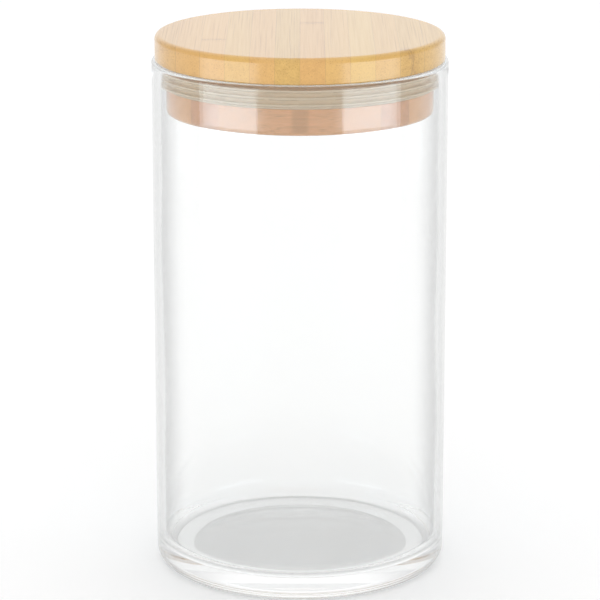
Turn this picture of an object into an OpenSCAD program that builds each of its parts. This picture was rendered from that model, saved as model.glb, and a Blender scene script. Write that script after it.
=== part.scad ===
// Lidded glass canister: a straight glass jar, a bamboo lid with a plug, and a finned silicone seal.
// Millimetres. The origin is the middle of the foot and +Z is up.

/* [Jar] */
// Outside diameter of the glass
jar_d = 100; // [80:1:130]
// Height of the glass, foot to rim
jar_h = 176; // [100:1:260]
// Thickness of the glass wall
wall_t = 3; // [1.8:0.1:4]
// Thickness of the glass floor at its edge
base_t = 7; // [3:0.1:8]
// Outside radius where the wall turns into the foot
foot_round = 5; // [3:0.5:12]
// Inside radius where the wall turns into the floor
floor_round = 6; // [3:0.5:12]
// Width of the flat ring that the foot stands on
foot_ring_w = 8; // [4:0.5:12]
// Height of the hollow inside the foot ring
kick_h = 1.4; // [0.6:0.1:2]
// Height of the floor's dome at its middle
dome_h = 0.9; // [0.4:0.1:2]
// Radius of the fire-polished edges of the rim, if the wall has room for it
rim_round = 0.9; // [0.4:0.1:1.5]

/* [Lid disc] */
// How far the bamboo disc stays inside the outside of the glass
disc_inset = 1.2; // [0:0.1:1.4]
// Thickness of the bamboo disc
disc_t = 8.7; // [7:0.1:16]
// Radius of the disc's top edge
disc_top_round = 1.8; // [0.5:0.1:3]
// Radius of the disc's bottom edge
disc_low_round = 0.5; // [0.3:0.1:1]
// Number of bamboo strips glued side by side in the disc
disc_strips = 12; // [6:1:20]
// Room between the disc and the glass rim
seat_gap = 0.1; // [0.05:0.05:0.5]

/* [Plug] */
// Room between the plug and the inside of the glass
plug_gap = 2; // [1.5:0.1:4]
// Wood left between the disc and the seal's groove
land_h = 1.2; // [1:0.1:4]
// Height of the seal's groove
groove_h = 7.2; // [6.6:0.1:12]
// Depth of the groove into the plug
groove_depth = 2.2; // [1.5:0.1:4]
// Wood left below the groove
lip_h = 8.9; // [2.5:0.1:14]
// Radius of the plug's bottom edge
plug_round = 1.6; // [0.5:0.1:2.2]
// Number of bamboo strips glued side by side in the plug
plug_strips = 11; // [6:1:20]

/* [Seal] */
// Room between the seal and the groove floor
seal_fit = 0.05; // [0.02:0.01:0.1]
// Room between the seal and each side of the groove
seal_side_gap = 0.1; // [0.05:0.05:0.3]
// How far the seal's band stands out of the groove
seal_proud = 0.2; // [0:0.1:0.6]
// Room between the fin tips and the glass
fin_gap = 0.1; // [0.05:0.05:0.3]
// Number of fins
fins = 3; // [2:1:3]
// Thickness of a fin at its root
fin_root = 1.1; // [0.8:0.1:1.6]
// Thickness of a fin at its tip
fin_tip = 0.5; // [0.3:0.1:0.8]
// How far a fin's tip is bent up above its root
fin_rise = 0.7; // [0:0.1:1.2]

/* [Hidden] */
$fn = 96;
over = 1; // how far a cutting shape runs past what it cuts

jar_r = jar_d / 2;
bore_r = jar_r - wall_t;
rim_edge = min(rim_round, 0.45 * wall_t); // leaves a narrow flat on top of the rim
kick_r = jar_r - foot_round - foot_ring_w;

disc_r = jar_r - disc_inset;
disc_z = jar_h + seat_gap;

plug_r = bore_r - plug_gap;
plug_h = land_h + groove_h + lip_h;
plug_z = disc_z - plug_h;

groove_r = plug_r - groove_depth;
groove_z = plug_z + lip_h;

seal_in_r = groove_r + seal_fit;
seal_band_r = plug_r + seal_proud;
seal_tip_r = bore_r - fin_gap;
seal_z = groove_z + seal_side_gap;
seal_h = groove_h - 2 * seal_side_gap;
fin_pitch = seal_h / fins;

disc_strip_w = 2 * disc_r / disc_strips;
plug_strip_w = 2 * plug_r / plug_strips;

// A strip's name is its board's name and a two-digit number, counted across its board.
function strip_name(board, i) = str(board, "_strip_", i < 10 ? "0" : "", i);

// Where the joint after the i-th of count strips lies. Both neighbours are cut at this same place,
// and the board's outer ends lie past its round edge.
function joint_at(i, count, width) =
    i == 0 ? -jar_r - over : i == count ? jar_r + over : round((i - count / 2) * width * 100) / 100;

// Radius of the sphere that rises h over a circle of radius r.
function dome_radius(r, h) = (r * r + h * h) / (2 * h);

// Neighbouring strips come from different culms, so their tone steps through three shades.
function bamboo(i) = [0.87, 0.69, 0.42] * (1 - 0.05 * ((i * 2) % 3));

// What a quarter round of radius r takes off a corner that points away from the origin.
// The round's centre is at the origin.
module round_off(r) {
    difference() {
        square(r + over);
        circle(r);
    }
}

// The inside of the jar: a rounded corner at the floor, and a floor that rises to a low dome.
module cavity_profile() {
    floor_r = bore_r - floor_round;
    floor_dome = dome_radius(floor_r, dome_h);
    difference() {
        translate([0, base_t]) square([bore_r, jar_h]);
        translate([floor_r, base_t + floor_round]) mirror([0, 1]) round_off(floor_round);
        translate([0, base_t + dome_h - floor_dome]) circle(floor_dome);
    }
}

// Half of the jar's section: wall, floor, rounded foot, polished rim, and the hollow in the foot.
module jar_profile() {
    kick = dome_radius(kick_r, kick_h);
    difference() {
        square([jar_r, jar_h]);
        translate([jar_r - foot_round, foot_round]) mirror([0, 1]) round_off(foot_round);
        translate([jar_r - rim_edge, jar_h - rim_edge]) round_off(rim_edge);
        translate([bore_r + rim_edge, jar_h - rim_edge]) mirror([1, 0]) round_off(rim_edge);
        cavity_profile();
        translate([0, kick_h - kick]) circle(kick);
    }
}

module glass_jar() {
    color([0.86, 0.92, 0.93, 0.35]) rotate_extrude() jar_profile();
}

// Half of the lid disc's section, with both of its edges rounded.
module disc_profile() {
    translate([0, disc_z]) difference() {
        square([disc_r, disc_t]);
        translate([disc_r - disc_top_round, disc_t - disc_top_round]) round_off(disc_top_round);
        translate([disc_r - disc_low_round, disc_low_round]) mirror([0, 1]) round_off(disc_low_round);
    }
}

// Half of the plug's section, with the seal's groove and a rounded bottom edge.
module plug_profile() {
    difference() {
        translate([0, plug_z]) square([plug_r, plug_h]);
        translate([plug_r - plug_round, plug_z + plug_round]) mirror([0, 1]) round_off(plug_round);
        translate([groove_r, groove_z]) square([groove_depth + over, groove_h]);
    }
}

// The i-th of count strips of a board that is cut to the round shape given as the child.
// The strips lie side by side along X and run along Y.
module strip(i, count, width, z, height) {
    left = joint_at(i - 1, count, width);
    right = joint_at(i, count, width);
    intersection() {
        children();
        translate([left, -jar_d, z - over]) cube([right - left, 2 * jar_d, height + 2 * over]);
    }
}

module disc_strip(i) {
    color(bamboo(i))
        strip(i, disc_strips, disc_strip_w, disc_z, disc_t) rotate_extrude() disc_profile();
}

// The plug's strips run across the disc's, which keeps the lid from cupping.
module plug_strip(i) {
    color(bamboo(i + 1)) rotate([0, 0, 90])
        strip(i, plug_strips, plug_strip_w, plug_z, plug_h) rotate_extrude() plug_profile();
}

// One fin's section. It leaves the band and is bent up where it meets the glass.
module fin_profile(z) {
    polygon([
        [seal_in_r, z],
        [seal_band_r, z],
        [seal_tip_r, z + fin_rise],
        [seal_tip_r, z + fin_rise + fin_tip],
        [seal_band_r, z + fin_root],
        [seal_in_r, z + fin_root]
    ]);
}

// A band that sits in the groove, with its fins spread evenly up it.
module seal_ring() {
    fin_h = max(fin_root, fin_rise + fin_tip);
    first_fin = seal_z + (fin_pitch - fin_h) / 2;
    color([0.95, 0.94, 0.92, 0.75]) rotate_extrude() {
        translate([seal_in_r, seal_z]) square([seal_band_r - seal_in_r, seal_h]);
        for (k = [0:fins - 1]) fin_profile(first_fin + k * fin_pitch);
    }
}

glass_jar();
seal_ring();
for (i = [1:disc_strips])
    disc_strip(i);
for (i = [1:plug_strips])
    plug_strip(i);
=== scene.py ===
import math

import bpy
import numpy as np
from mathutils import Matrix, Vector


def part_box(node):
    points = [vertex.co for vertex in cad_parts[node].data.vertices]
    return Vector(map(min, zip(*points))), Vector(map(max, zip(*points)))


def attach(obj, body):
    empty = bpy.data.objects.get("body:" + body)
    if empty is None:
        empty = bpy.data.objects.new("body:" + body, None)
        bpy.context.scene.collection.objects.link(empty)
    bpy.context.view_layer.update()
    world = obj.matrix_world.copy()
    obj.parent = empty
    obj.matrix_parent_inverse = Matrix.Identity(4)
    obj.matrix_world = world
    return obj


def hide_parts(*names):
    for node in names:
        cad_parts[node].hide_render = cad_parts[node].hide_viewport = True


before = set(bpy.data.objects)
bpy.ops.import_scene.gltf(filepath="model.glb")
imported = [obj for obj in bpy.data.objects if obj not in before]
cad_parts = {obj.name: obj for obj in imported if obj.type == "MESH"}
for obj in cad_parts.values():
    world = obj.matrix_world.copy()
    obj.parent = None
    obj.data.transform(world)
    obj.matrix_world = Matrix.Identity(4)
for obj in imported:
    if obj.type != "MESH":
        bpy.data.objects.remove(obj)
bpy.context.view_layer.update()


# ---- Glass jar ------------------------------------------------------------------------------
# A straight machine-blown jar of clear soda-lime glass, fire-polished at the rim. The outside is
# true to its mould. The inside is never quite even, which makes what is seen through it swim.
MM = 0.001
JAR_SEGMENTS = 288
WALL = 3.0 * MM
FLOOR = 7.0 * MM
FLOOR_DOME = 0.9 * MM
FLOOR_CORNER = 6.0 * MM
FOOT_ROUND = 5.0 * MM
FOOT_RING = 8.0 * MM
FOOT_HOLLOW = 1.4 * MM
RIM_ROUND = 0.9 * MM
DOME_POINTS = 14
CORNER_POINTS = 16
RIM_POINTS = 9
WAVE_DEPTH = 0.045 * MM
WAVES_ABOVE_FOOT = 20 * MM
WAVES_BELOW_RIM = 22 * MM
WAVES_FADE = 30 * MM
GLASS_TINT = (0.984, 0.988, 0.986)
GLASS_DUST = 0.985
GLASS_TOUCHED = 0.035
# The grey painted into the glass where it turns edge-on to the eye: painted shade, not absorption.
GLASS_PAINTED_EDGE_GREY = 0.53
GLASS_THROUGH = (0.95, 0.965, 0.96, 1)
GLASS_IOR = 1.5


def arc(centre, radius, start, stop, count):
    """Points of a circle's arc in a section: centre + radius * (cos, sin) of evenly spread degrees."""
    turn = np.radians(np.linspace(start, stop, count))
    return np.stack([centre[0] + radius * np.cos(turn), centre[1] + radius * np.sin(turn)], 1)


def dome(edge_radius, edge_z, rise, count):
    """A low dome's section from its edge to the axis: z falls off with the square of the radius."""
    r = np.linspace(edge_radius, 0, count)
    return np.stack([r, edge_z + rise * (1 - (r / edge_radius) ** 2)], 1)


def straight(start, stop, count):
    """Evenly spread points on the line between two points of a section, without its two ends."""
    along = np.linspace(0, 1, count + 2)[1:-1, None]
    return (1 - along) * np.array(start) + along * np.array(stop)


def put_mesh(name, points, faces):
    """Makes an object at the origin from an array of points and a list of faces, smoothly shaded."""
    mesh = bpy.data.meshes.new(name)
    mesh.from_pydata(points.tolist(), [], faces)
    mesh.shade_smooth()
    piece = bpy.data.objects.new(name, mesh)
    bpy.context.collection.objects.link(piece)
    return piece


def turned(section, segments, closed, swell=None):
    """The points and faces of a section turned round the Z axis.

    Point (i, j) is (r cos a, r sin a, z), with (r, z) the section's i-th point and a the j-th of
    evenly spread angles; swell(r, a, z) is added to r. A closed section joins its last point to its
    first. An open one starts and ends on the axis, and each end becomes one point with a fan.
    The section runs so that the solid lies on its left, which turns the faces outwards.
    """
    angle = np.linspace(0, 2 * np.pi, segments, endpoint=False)
    ring = section if closed else section[1:-1]
    r, z = (np.repeat(ring[:, k:k + 1], segments, 1) for k in (0, 1))
    a = np.repeat(angle[None, :], len(ring), 0)
    if swell is not None:
        r = r + swell(r, a, z)
    points = np.stack([r * np.cos(a), r * np.sin(a), z], 2).reshape(-1, 3)
    rows = len(ring)
    i = np.arange(rows if closed else rows - 1)[:, None]
    j = np.arange(segments)[None, :]
    up, on = (i + 1) % rows, (j + 1) % segments
    corners = [i * segments + j, i * segments + on, up * segments + on, up * segments + j]
    faces = np.stack([np.broadcast_to(c, (len(i), segments)) for c in corners], 2).reshape(-1, 4).tolist()
    if not closed:
        first, last = rows * segments, rows * segments + 1
        points = np.vstack([points, [0, 0, section[0, 1]], [0, 0, section[-1, 1]]])
        k = np.arange(segments)
        on = (k + 1) % segments
        faces += np.stack([np.full(segments, first), on, k], 1).tolist()
        top = (rows - 1) * segments
        faces += np.stack([np.full(segments, last), top + k, top + on], 1).tolist()
    return points, faces


jar_low, jar_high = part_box("glass_jar")
jar_radius = min(jar_high[0], -jar_low[0])
rim_z = jar_high[2]
bore = jar_radius - WALL
floor_edge = bore - FLOOR_CORNER
hollow_edge = jar_radius - FOOT_ROUND - FOOT_RING


def inner_waves(r, a, z):
    """The inside's unevenness: three slow waves round the bore and up it, nil at the floor and rim."""
    inside = (r > bore - 1e-6) & (r < bore + 1e-6)
    lift = (np.clip((z - WAVES_ABOVE_FOOT) / WAVES_FADE, 0, 1)
            * np.clip((rim_z - WAVES_BELOW_RIM - z) / WAVES_FADE, 0, 1))
    wave = (np.sin(3 * a + 40 * z) + 0.6 * np.sin(7 * a - 95 * z + 1.3)
            + 0.4 * np.sin(2 * a + 160 * z + 2.1))
    return np.where(inside, WAVE_DEPTH * wave * lift, 0)


jar_section = np.vstack([
    dome(hollow_edge, 0, FOOT_HOLLOW, DOME_POINTS)[::-1],
    straight((hollow_edge, 0), (jar_radius - FOOT_ROUND, 0), 5),
    arc((jar_radius - FOOT_ROUND, FOOT_ROUND), FOOT_ROUND, -90, 0, CORNER_POINTS),
    straight((jar_radius, FOOT_ROUND), (jar_radius, rim_z - RIM_ROUND), 30),
    arc((jar_radius - RIM_ROUND, rim_z - RIM_ROUND), RIM_ROUND, 0, 90, RIM_POINTS),
    arc((bore + RIM_ROUND, rim_z - RIM_ROUND), RIM_ROUND, 90, 180, RIM_POINTS),
    straight((bore, rim_z - RIM_ROUND), (bore, FLOOR + FLOOR_CORNER), 90),
    arc((floor_edge, FLOOR + FLOOR_CORNER), FLOOR_CORNER, 0, -90, CORNER_POINTS),
    dome(floor_edge, FLOOR, FLOOR_DOME, DOME_POINTS)[1:],
])
jar_points, jar_faces = turned(jar_section, JAR_SEGMENTS, False, inner_waves)
jar = put_mesh("jar_glass", jar_points, jar_faces)
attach(jar, "jar")
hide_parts("glass_jar")


def node_of(tree, kind, at, **values):
    """A shader node of this kind at a place in the tree, with its own properties and inputs set."""
    node = tree.nodes.new("ShaderNode" + kind)
    node.location = at
    for name, value in values.items():
        if name.startswith("in_"):
            key = name[3:]
            node.inputs[int(key) if key.isdigit() else key.replace("_", " ")].default_value = value
        else:
            setattr(node, name, value)
    return node


def blank_material(name):
    """A material with only its output, and the tree that it is built in."""
    made = bpy.data.materials.new(name)
    made.use_nodes = True
    made.node_tree.nodes.clear()
    return made, made.node_tree, node_of(made.node_tree, "OutputMaterial", (900, 0))


def ramp(tree, at, low, high, to_low=0.0, to_high=1.0, kind="SMOOTHSTEP"):
    """A node that takes the numbers from low to high to those from to_low to to_high."""
    node = node_of(tree, "MapRange", at, interpolation_type=kind)
    for label, number in (("From Min", low), ("From Max", high), ("To Min", to_low), ("To Max", to_high)):
        node.inputs[label].default_value = number
    return node


def handling_group():
    """What hands and washing leave on smooth surfaces: broad smudges, and fine specks of dust."""
    group = bpy.data.node_groups.new("handling_marks", "ShaderNodeTree")
    for name, kind in (("Vector", "NodeSocketVector"), ("Smudge Scale", "NodeSocketFloat")):
        group.interface.new_socket(name=name, in_out="INPUT", socket_type=kind)
    for name in ("Smudge", "Speck"):
        group.interface.new_socket(name=name, in_out="OUTPUT", socket_type="NodeSocketFloat")
    start = group.nodes.new("NodeGroupInput")
    end = group.nodes.new("NodeGroupOutput")
    broad = node_of(group, "TexNoise", (200, 150), in_Detail=3.0, in_Roughness=0.55, in_Distortion=0.6)
    fine = node_of(group, "TexNoise", (200, -150), in_Scale=2600.0, in_Detail=1.0)
    band = ramp(group, (420, 150), 0.48, 0.72)
    dots = ramp(group, (420, -150), 0.76, 0.82, kind="LINEAR")
    join = group.links.new
    join(start.outputs["Vector"], broad.inputs["Vector"])
    join(start.outputs["Smudge Scale"], broad.inputs["Scale"])
    join(start.outputs["Vector"], fine.inputs["Vector"])
    join(broad.outputs["Fac"], band.inputs["Value"])
    join(fine.outputs["Fac"], dots.inputs["Value"])
    join(band.outputs["Result"], end.inputs["Smudge"])
    join(dots.outputs["Result"], end.inputs["Speck"])
    return group


handling_marks = handling_group()


def glass_material():
    """Clear glass, a little duller where it was touched. Lamps shine through it to what is inside.

    Where it turns away from the eye its colour is painted grey: painted shade for the darker surroundings
    seen through its edges.
    """
    made, tree, out = blank_material("clear_glass")
    join = tree.links.new
    place = node_of(tree, "TexCoord", (-700, 0))
    marks = node_of(tree, "Group", (-500, 0), node_tree=handling_marks)
    marks.inputs["Smudge Scale"].default_value = 28
    join(place.outputs["Object"], marks.inputs["Vector"])
    dull = ramp(tree, (-250, 0), 0.0, 1.0, 0.0, GLASS_TOUCHED, "LINEAR")
    join(marks.outputs["Smudge"], dull.inputs["Value"])
    tint = node_of(tree, "MapRange", (-250, 300), data_type="FLOAT_VECTOR")
    for label, shade in (("To_Min_FLOAT3", 1.0), ("To_Max_FLOAT3", GLASS_DUST)):
        socket = next(i for i in tint.inputs if i.identifier == label)
        socket.default_value = [shade * c for c in GLASS_TINT]
    join(marks.outputs["Speck"], tint.inputs["Vector"])
    # Painted shade: the colour greys where the glass turns edge-on to the eye, standing in for the darker
    # surroundings seen through the edges.
    turned_away = node_of(tree, "LayerWeight", (-500, 550), in_Blend=0.5)
    painted_edge_weight = ramp(tree, (-250, 550), 0.42, 0.8)
    join(turned_away.outputs["Facing"], painted_edge_weight.inputs["Value"])
    painted_edge_grey = node_of(tree, "Mix", (-50, 400), data_type="RGBA")
    painted_edge_grey.inputs[7].default_value = (GLASS_PAINTED_EDGE_GREY, GLASS_PAINTED_EDGE_GREY * 1.01, GLASS_PAINTED_EDGE_GREY * 1.01, 1)
    join(painted_edge_weight.outputs["Result"], painted_edge_grey.inputs[0])
    join(tint.outputs["Vector"], painted_edge_grey.inputs[6])
    ripple = node_of(tree, "TexNoise", (-500, -300), in_Scale=55.0, in_Detail=1.0)
    join(place.outputs["Object"], ripple.inputs["Vector"])
    bump = node_of(tree, "Bump", (-250, -300), in_Strength=0.02, in_Distance=0.0006)
    join(ripple.outputs["Fac"], bump.inputs["Height"])
    glass = node_of(tree, "BsdfPrincipled", (100, 0), in_IOR=GLASS_IOR)
    glass.inputs["Transmission Weight"].default_value = 1.0
    join(painted_edge_grey.outputs[2], glass.inputs["Base Color"])
    join(dull.outputs["Result"], glass.inputs["Roughness"])
    join(bump.outputs["Normal"], glass.inputs["Normal"])
    ray = node_of(tree, "LightPath", (300, 350))
    clear = node_of(tree, "BsdfTransparent", (300, -150))
    clear.inputs["Color"].default_value = GLASS_THROUGH
    both = node_of(tree, "MixShader", (600, 0))
    join(ray.outputs["Is Shadow Ray"], both.inputs[0])
    join(glass.outputs[0], both.inputs[1])
    join(clear.outputs[0], both.inputs[2])
    join(both.outputs[0], out.inputs["Surface"])
    return made


jar.data.materials.append(glass_material())


# ---- Seal -----------------------------------------------------------------------------------
# One moulded ring of milky silicone, stretched over the plug's lip into its groove. Three thin
# fins stand out of the band, bent up where they press on the glass.
SEAL_SEGMENTS = 240
FIN_COUNT = 3
FIN_ROOT = 1.1 * MM
FIN_TIP = 0.5 * MM
FIN_RISE = 0.7 * MM
FIN_REACH = 1.7 * MM
FIN_BEND = 0.55 * FIN_REACH
FIN_FILLET = 0.15 * MM
BAND_DEPTH = 2.35 * MM
BAND_CORNER = 0.4 * MM
SILICONE = (0.99, 0.84, 0.63)
SILICONE_CLOUD = 0.93
SILICONE_COVER = 0.8

seal_low, seal_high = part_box("seal_ring")
tip_radius = (seal_high[0] - seal_low[0]) / 2
band_radius = tip_radius - FIN_REACH


def softened(loop, rounds):
    """A closed section with its corners cut: each side keeps its middle half, rounds times over."""
    for _ in range(rounds):
        ahead = np.roll(loop, -1, 0)
        loop = np.stack([0.75 * loop + 0.25 * ahead, 0.25 * loop + 0.75 * ahead], 1).reshape(-1, 2)
    return loop


def seal_section():
    """The ring's section, anticlockwise: up the outside of the band, out and back at each fin."""
    inner, low, high = band_radius - BAND_DEPTH, seal_low[2], seal_high[2]
    pitch = (high - low) / FIN_COUNT
    first = low + (pitch - FIN_RISE - FIN_TIP) / 2
    bend = band_radius + FIN_BEND
    outline = [(inner, low), (inner + BAND_CORNER, low), (band_radius - BAND_CORNER, low),
               (band_radius, low), (band_radius, low + BAND_CORNER)]
    for k in range(FIN_COUNT):
        z = first + k * pitch
        outline += [(band_radius, z - FIN_FILLET), (band_radius + 0.2 * MM, z),
                    (bend, z + 0.3 * FIN_RISE),
                    (tip_radius, z + FIN_RISE), (tip_radius, z + FIN_RISE + 0.5 * FIN_TIP),
                    (tip_radius, z + FIN_RISE + FIN_TIP), (tip_radius - 0.3 * MM, z + FIN_RISE + FIN_TIP),
                    (bend, z + 0.3 * FIN_RISE + 0.75 * FIN_ROOT),
                    (band_radius + 0.2 * MM, z + FIN_ROOT), (band_radius, z + FIN_ROOT + FIN_FILLET)]
    outline += [(band_radius, high - BAND_CORNER), (band_radius, high), (band_radius - BAND_CORNER, high),
                (inner + BAND_CORNER, high), (inner, high), (inner, high - BAND_CORNER),
                (inner, low + BAND_CORNER)]
    return softened(np.array(outline), 2)


seal_points, seal_faces = turned(seal_section(), SEAL_SEGMENTS, True)
seal = put_mesh("seal_silicone", seal_points, seal_faces)
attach(seal, "seal")
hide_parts("seal_ring")


def silicone_material():
    """Milky silicone with a satin skin, duller where it was touched. A little wood shows through it.

    Only faces turned to the eye cover what is behind them. The rest are clear, so that the two faces
    of the band don't both cover it.
    """
    made, tree, out = blank_material("milky_silicone")
    join = tree.links.new
    place = node_of(tree, "TexCoord", (-900, 0))
    marks = node_of(tree, "Group", (-650, 100), node_tree=handling_marks)
    marks.inputs["Smudge Scale"].default_value = 60
    join(place.outputs["Object"], marks.inputs["Vector"])
    cloud = node_of(tree, "TexNoise", (-650, -200), in_Scale=140.0, in_Detail=2.0)
    join(place.outputs["Object"], cloud.inputs["Vector"])
    colour = node_of(tree, "Mix", (-350, 250), data_type="RGBA")
    colour.inputs[6].default_value = (*SILICONE, 1)
    colour.inputs[7].default_value = (*[SILICONE_CLOUD * c for c in SILICONE], 1)
    join(cloud.outputs["Fac"], colour.inputs[0])
    dull = ramp(tree, (-350, 0), 0.0, 1.0, 0.26, 0.38, "LINEAR")
    join(marks.outputs["Smudge"], dull.inputs["Value"])
    skin = node_of(tree, "TexNoise", (-650, -450), in_Scale=1800.0, in_Detail=2.0)
    join(place.outputs["Object"], skin.inputs["Vector"])
    bump = node_of(tree, "Bump", (-350, -450), in_Strength=0.12, in_Distance=0.00003)
    join(skin.outputs["Fac"], bump.inputs["Height"])
    rubber = node_of(tree, "BsdfPrincipled", (100, 0), in_IOR=1.41)
    side = node_of(tree, "NewGeometry", (-350, -150))
    cover = ramp(tree, (-100, -150), 0.0, 1.0, SILICONE_COVER, 0.0, "LINEAR")
    join(side.outputs["Backfacing"], cover.inputs["Value"])
    join(cover.outputs["Result"], rubber.inputs["Alpha"])
    join(colour.outputs[2], rubber.inputs["Base Color"])
    join(dull.outputs["Result"], rubber.inputs["Roughness"])
    join(bump.outputs["Normal"], rubber.inputs["Normal"])
    join(rubber.outputs[0], out.inputs["Surface"])
    return made


seal.data.materials.append(silicone_material())


# ---- Lid: bamboo boards ---------------------------------------------------------------------
# Strips split from bamboo culms, planed square and glued side by side, then turned round, sanded
# and oiled. Each strip has its own tone, its fibres run along it, and some carry a knuckle.
DISC_STRIPS = 12
PLUG_STRIPS = 11
DISC_PALE = (0.86, 0.515, 0.135, 1)
DISC_DEEP = (0.545, 0.263, 0.043, 1)
# The plug is the disc's bamboo, but its tones are browner, redder and deeper: painted shade for the shade
# it sits in under the lid and behind the glass.
PLUG_PALE_PAINTED_SHADE = (0.89, 0.445, 0.203, 1)
PLUG_DEEP_PAINTED_SHADE = (0.49, 0.22, 0.092, 1)
BAMBOO_KNUCKLE = (0.33, 0.16, 0.05, 1)
KNUCKLE_SHOWS = 0.34
JOINT_SHOWS = 0.3
# The millimetres of culm in which a strip's knuckle may lie. Most lie off the board.
KNUCKLE_SPREAD = 420.0
DISC_SEED = 329.0
PLUG_SEED = 11.0


def bamboo_group():
    """Bamboo as a solid pattern in board coordinates: across the strips, along them, and up.

    Fibres are noise and cells stretched along the strip, so they show as streaks on its faces and as
    dots on its ends. A number drawn from the strip's place gives its tone and where its knuckle is.
    """
    group = bpy.data.node_groups.new("bamboo_board", "ShaderNodeTree")
    for name in ("Across", "Along", "Up", "Strip Width", "Strip Offset", "Seed"):
        group.interface.new_socket(name=name, in_out="INPUT", socket_type="NodeSocketFloat")
    for name in ("Pale", "Deep"):
        group.interface.new_socket(name=name, in_out="INPUT", socket_type="NodeSocketColor")
    group.interface.new_socket(name="Colour", in_out="OUTPUT", socket_type="NodeSocketColor")
    for name in ("Relief", "Roughness"):
        group.interface.new_socket(name=name, in_out="OUTPUT", socket_type="NodeSocketFloat")
    start = group.nodes.new("NodeGroupInput")
    end = group.nodes.new("NodeGroupOutput")
    join = group.links.new

    def maths(operation, *values):
        node = node_of(group, "Math", (0, 0), operation=operation)
        for slot, value in enumerate(values):
            if isinstance(value, float):
                node.inputs[slot].default_value = value
            else:
                join(value, node.inputs[slot])
        return node.outputs[0]

    def ranged(value, low, high):
        node = ramp(group, (0, 0), low, high)
        join(value, node.inputs["Value"])
        return node.outputs["Result"]

    def point(x, y, z):
        node = node_of(group, "CombineXYZ", (0, 0))
        for slot, value in enumerate((x, y, z)):
            join(value, node.inputs[slot])
        return node.outputs[0]

    def noise(vector, detail=3.0):
        node = node_of(group, "TexNoise", (0, 0), in_Scale=1.0, in_Detail=detail, in_Roughness=0.6)
        join(vector, node.inputs["Vector"])
        return node.outputs["Fac"]

    across, along, up = (maths("MULTIPLY", start.outputs[n], 1000.0) for n in ("Across", "Along", "Up"))
    place = maths("DIVIDE", maths("ADD", start.outputs["Across"], start.outputs["Strip Offset"]),
                  start.outputs["Strip Width"])
    number = maths("FLOOR", place)
    draw = node_of(group, "TexWhiteNoise", (0, 0), noise_dimensions="2D")
    join(point(number, start.outputs["Seed"], start.outputs["Seed"]), draw.inputs["Vector"])
    parts = node_of(group, "SeparateColor", (0, 0))
    join(draw.outputs["Color"], parts.inputs[0])
    tone, knuckle_place, hue = parts.outputs[0], parts.outputs[1], parts.outputs[2]
    shift = maths("MULTIPLY", draw.outputs["Value"], 90.0)
    run = maths("ADD", along, shift)
    side = maths("ADD", across, shift)

    def stretched(side_scale, run_scale, up_scale):
        return point(maths("MULTIPLY", side, side_scale), maths("MULTIPLY", run, run_scale),
                     maths("MULTIPLY", up, up_scale))

    streaks = noise(stretched(1.9, 0.022, 1.9))
    bands = noise(stretched(0.34, 0.006, 0.34), 2.0)
    cells = node_of(group, "TexVoronoi", (0, 0), in_Scale=1.0, in_Randomness=0.85)
    join(stretched(1.35, 0.012, 1.35), cells.inputs["Vector"])
    bundles = ranged(cells.outputs["Distance"], 0.34, 0.12)
    wavy = noise(stretched(0.45, 1.0, 0.3), 2.0)
    wobble = maths("MULTIPLY", maths("SUBTRACT", wavy, 0.5), 5.0)
    knuckle_at = maths("MULTIPLY", maths("SUBTRACT", knuckle_place, 0.5), KNUCKLE_SPREAD)
    off = maths("ABSOLUTE", maths("SUBTRACT", maths("ADD", along, wobble), knuckle_at))
    knuckle_line = ranged(off, 0.9, 0.1)
    knuckle_halo = ranged(off, 5.5, 0.8)
    within = maths("SUBTRACT", place, number)
    to_joint = maths("MULTIPLY", maths("MINIMUM", within, maths("SUBTRACT", 1.0, within)),
                     maths("MULTIPLY", start.outputs["Strip Width"], 1000.0))
    joint = ranged(to_joint, 0.12, 0.03)

    depth = maths("MULTIPLY", streaks, 0.55)
    strip_tone = maths("SUBTRACT", tone, 0.5)
    for part, weight in ((bands, 0.35), (bundles, 0.22), (strip_tone, 0.27), (knuckle_halo, 0.12)):
        depth = maths("ADD", depth, maths("MULTIPLY", part, weight))
    wood = node_of(group, "Mix", (0, 0), data_type="RGBA")
    join(start.outputs["Pale"], wood.inputs[6])
    join(start.outputs["Deep"], wood.inputs[7])
    join(ranged(depth, 0.2, 1.05), wood.inputs[0])
    warm = node_of(group, "HueSaturation", (0, 0))
    join(maths("ADD", 0.494, maths("MULTIPLY", hue, 0.012)), warm.inputs["Hue"])
    join(wood.outputs[2], warm.inputs["Color"])
    marked = node_of(group, "Mix", (0, 0), data_type="RGBA")
    marked.inputs[7].default_value = BAMBOO_KNUCKLE
    join(warm.outputs[0], marked.inputs[6])
    knuckle_mark = maths("MULTIPLY", knuckle_line, KNUCKLE_SHOWS)
    joint_mark = maths("MULTIPLY", joint, JOINT_SHOWS)
    join(maths("MAXIMUM", knuckle_mark, joint_mark), marked.inputs[0])
    join(marked.outputs[2], end.inputs["Colour"])
    relief = maths("SUBTRACT", maths("MULTIPLY", streaks, 0.6), maths("MULTIPLY", bundles, 0.25))
    relief = maths("SUBTRACT", relief, maths("MULTIPLY", maths("MAXIMUM", joint, knuckle_line), 0.9))
    join(relief, end.inputs["Relief"])
    join(maths("ADD", 0.36, maths("MULTIPLY", streaks, 0.2)), end.inputs["Roughness"])
    return group


bamboo_board = bamboo_group()


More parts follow.
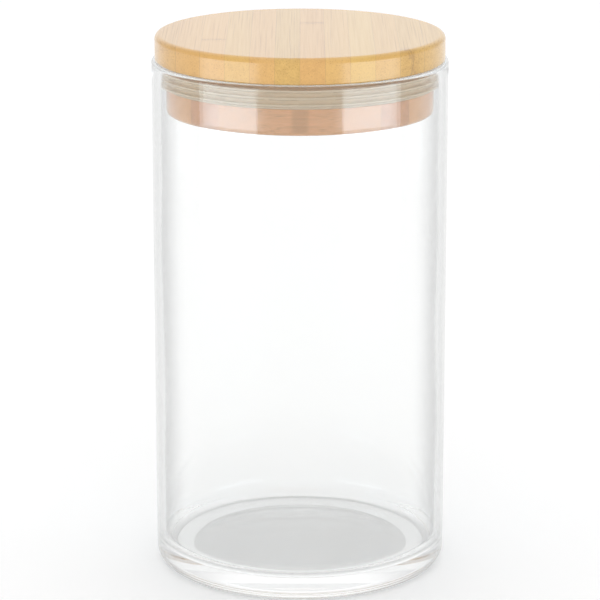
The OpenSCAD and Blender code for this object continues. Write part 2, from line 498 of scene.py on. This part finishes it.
def bamboo_material(name, across, along, strip_width, strip_offset, seed, pale, deep):
    """Sanded, oiled bamboo for one board, with its strips lying across one axis and along another."""
    made, tree, out = blank_material(name)
    join = tree.links.new
    place = node_of(tree, "TexCoord", (-900, 0))
    split = node_of(tree, "SeparateXYZ", (-700, 0))
    join(place.outputs["Object"], split.inputs[0])
    board = node_of(tree, "Group", (-450, 0), node_tree=bamboo_board)
    for socket, axis in (("Across", across), ("Along", along), ("Up", "Z")):
        join(split.outputs[axis], board.inputs[socket])
    board.inputs["Strip Width"].default_value = strip_width
    board.inputs["Strip Offset"].default_value = strip_offset
    board.inputs["Seed"].default_value = seed
    board.inputs["Pale"].default_value = pale
    board.inputs["Deep"].default_value = deep
    bump = node_of(tree, "Bump", (-150, -300), in_Strength=0.35, in_Distance=0.00006)
    join(board.outputs["Relief"], bump.inputs["Height"])
    wood = node_of(tree, "BsdfPrincipled", (200, 0), in_IOR=1.48)
    wood.inputs["Coat Weight"].default_value = 1.0
    wood.inputs["Coat Roughness"].default_value = 0.18
    wood.inputs["Coat IOR"].default_value = 1.6
    join(board.outputs["Colour"], wood.inputs["Base Color"])
    join(board.outputs["Roughness"], wood.inputs["Roughness"])
    join(bump.outputs["Normal"], wood.inputs["Normal"])
    join(wood.outputs[0], out.inputs["Surface"])
    return made


disc_nodes = ["disc_strip_%02d" % i for i in range(1, DISC_STRIPS + 1)]
plug_nodes = ["plug_strip_%02d" % i for i in range(1, PLUG_STRIPS + 1)]
disc_edge = -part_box(disc_nodes[0])[0][0]
plug_edge = -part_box(plug_nodes[0])[0][1]
disc_bamboo = bamboo_material("bamboo_disc", "X", "Y", 2 * disc_edge / DISC_STRIPS, disc_edge,
                              DISC_SEED, DISC_PALE, DISC_DEEP)
# The plug's bamboo carries painted shade in its two tones.
plug_bamboo_painted_shade = bamboo_material("bamboo_plug", "Y", "X", 2 * plug_edge / PLUG_STRIPS, plug_edge,
                              PLUG_SEED, PLUG_PALE_PAINTED_SHADE, PLUG_DEEP_PAINTED_SHADE)
for nodes, finish in ((disc_nodes, disc_bamboo), (plug_nodes, plug_bamboo_painted_shade)):
    for name in nodes:
        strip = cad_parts[name]
        strip.data.materials.clear()
        strip.data.materials.append(finish)


# ---- Floor, light and camera ----------------------------------------------------------------
# A wide pale light table under a white tent. The tent's left and right light the object less than
# its front and back. Two low soft lamps stand on the table and show as streaks on the glass.
FLOOR_REACH = 6.0
FLOOR_GLOW = 0.2
floor_mesh = bpy.data.meshes.new("floor")
floor_mesh.from_pydata([(-FLOOR_REACH, -FLOOR_REACH, 0), (FLOOR_REACH, -FLOOR_REACH, 0),
                        (FLOOR_REACH, FLOOR_REACH, 0), (-FLOOR_REACH, FLOOR_REACH, 0)], [], [(0, 1, 2, 3)])
floor = bpy.data.objects.new("floor", floor_mesh)
bpy.context.collection.objects.link(floor)
floor_finish, floor_tree, floor_out = blank_material("pale_floor")
floor_place = node_of(floor_tree, "TexCoord", (-700, 0))
floor_grain = node_of(floor_tree, "TexNoise", (-500, 0), in_Scale=9.0, in_Detail=3.0)
floor_tone = node_of(floor_tree, "Mix", (-250, 0), data_type="RGBA")
floor_tone.inputs[6].default_value = (0.93, 0.93, 0.93, 1)
floor_tone.inputs[7].default_value = (0.95, 0.95, 0.95, 1)
floor_paint = node_of(floor_tree, "BsdfPrincipled", (100, 0), in_Roughness=0.7)
floor_paint.inputs["Specular IOR Level"].default_value = 0.2
floor_paint.inputs["Emission Color"].default_value = (1, 1, 1, 1)
floor_paint.inputs["Emission Strength"].default_value = FLOOR_GLOW
for source, target in ((floor_place.outputs["Object"], floor_grain.inputs["Vector"]),
                       (floor_grain.outputs["Fac"], floor_tone.inputs[0]),
                       (floor_tone.outputs[2], floor_paint.inputs["Base Color"]),
                       (floor_paint.outputs[0], floor_out.inputs["Surface"])):
    floor_tree.links.new(source, target)
floor_mesh.materials.append(floor_finish)

# The tent's strength in front and behind, which is also what the camera sees of it all round.
TENT_WHITE = 1.3
TENT_SIDES = 0.8
tent = bpy.data.worlds.new("tent")
bpy.context.scene.world = tent
tent.use_nodes = True
tent.node_tree.nodes.clear()
tent_tree = tent.node_tree
tent_way = node_of(tent_tree, "TexCoord", (-900, 0))
tent_split = node_of(tent_tree, "SeparateXYZ", (-700, 0))
tent_side = node_of(tent_tree, "Math", (-500, 0), operation="ABSOLUTE")
tent_grey = ramp(tent_tree, (-300, 0), 0.2, 0.8, TENT_WHITE, TENT_SIDES)
tent_seen = node_of(tent_tree, "LightPath", (-500, -250))
tent_white = node_of(tent_tree, "Math", (-300, -250), operation="MULTIPLY", in_1=TENT_WHITE)
tent_plain = node_of(tent_tree, "Math", (-100, 0), operation="MAXIMUM")
tent_glow = node_of(tent_tree, "Background", (100, 0))
tent_out = node_of(tent_tree, "OutputWorld", (300, 0))
for source, target in ((tent_way.outputs["Generated"], tent_split.inputs[0]),
                       (tent_split.outputs["X"], tent_side.inputs[0]),
                       (tent_side.outputs[0], tent_grey.inputs["Value"]),
                       (tent_grey.outputs["Result"], tent_plain.inputs[0]),
                       (tent_seen.outputs["Is Camera Ray"], tent_white.inputs[0]),
                       (tent_white.outputs[0], tent_plain.inputs[1]),
                       (tent_plain.outputs[0], tent_glow.inputs["Strength"]),
                       (tent_glow.outputs[0], tent_out.inputs["Surface"])):
    tent_tree.links.new(source, target)


# The lamps are lower than the lid, so its top never mirrors them.
LAMP_WIDTH = 0.44
LAMP_HEIGHT = 0.12
LAMP_AWAY = 0.5
LAMP_AZIMUTH = 56
LAMP_WATTS = 0.36
LAMP_DAYLIGHT = (0.84, 1.0, 1.12)


def soft_lamp(name, azimuth):
    """A soft lamp standing on the table at this azimuth from the front.

    Glossy faces mirror it. As plain light it reaches only what is inside the glass.
    """
    light = bpy.data.lights.new(name, "AREA")
    light.shape = "RECTANGLE"
    light.size, light.size_y = LAMP_WIDTH, LAMP_HEIGHT
    light.energy = LAMP_WATTS
    light.color = LAMP_DAYLIGHT
    lamp = bpy.data.objects.new(name, light)
    turn = math.radians(azimuth)
    lamp.location = (LAMP_AWAY * math.sin(turn), -LAMP_AWAY * math.cos(turn), LAMP_HEIGHT / 2)
    lamp.rotation_euler = (math.radians(90), 0, turn)
    lamp.visible_diffuse = lamp.visible_camera = False
    bpy.context.collection.objects.link(lamp)


soft_lamp("lamp_left", -LAMP_AZIMUTH)
soft_lamp("lamp_right", LAMP_AZIMUTH)
# Light that enters the rim is mirrored inside the wall about sixty times on its way to the foot.
WALL_BOUNCES = 200
light_paths = bpy.context.scene.cycles
light_paths.max_bounces = light_paths.glossy_bounces = WALL_BOUNCES
light_paths.transmission_bounces = light_paths.transparent_max_bounces = WALL_BOUNCES

CAMERA_AWAY = 0.9927
CAMERA_HEIGHT = 0.3611
CAMERA_TILT = 15.177
CAMERA_LENS = 179.85
CAMERA_SENSOR = 36
camera_data = bpy.data.cameras.new("camera")
camera_data.lens, camera_data.sensor_width = CAMERA_LENS, CAMERA_SENSOR
camera = bpy.data.objects.new("camera", camera_data)
camera.location = (0, -CAMERA_AWAY, CAMERA_HEIGHT)
camera.rotation_euler = (math.radians(90 - CAMERA_TILT), 0, 0)
bpy.context.collection.objects.link(camera)
bpy.context.scene.camera = camera
bpy.context.scene.view_settings.view_transform = "Standard"
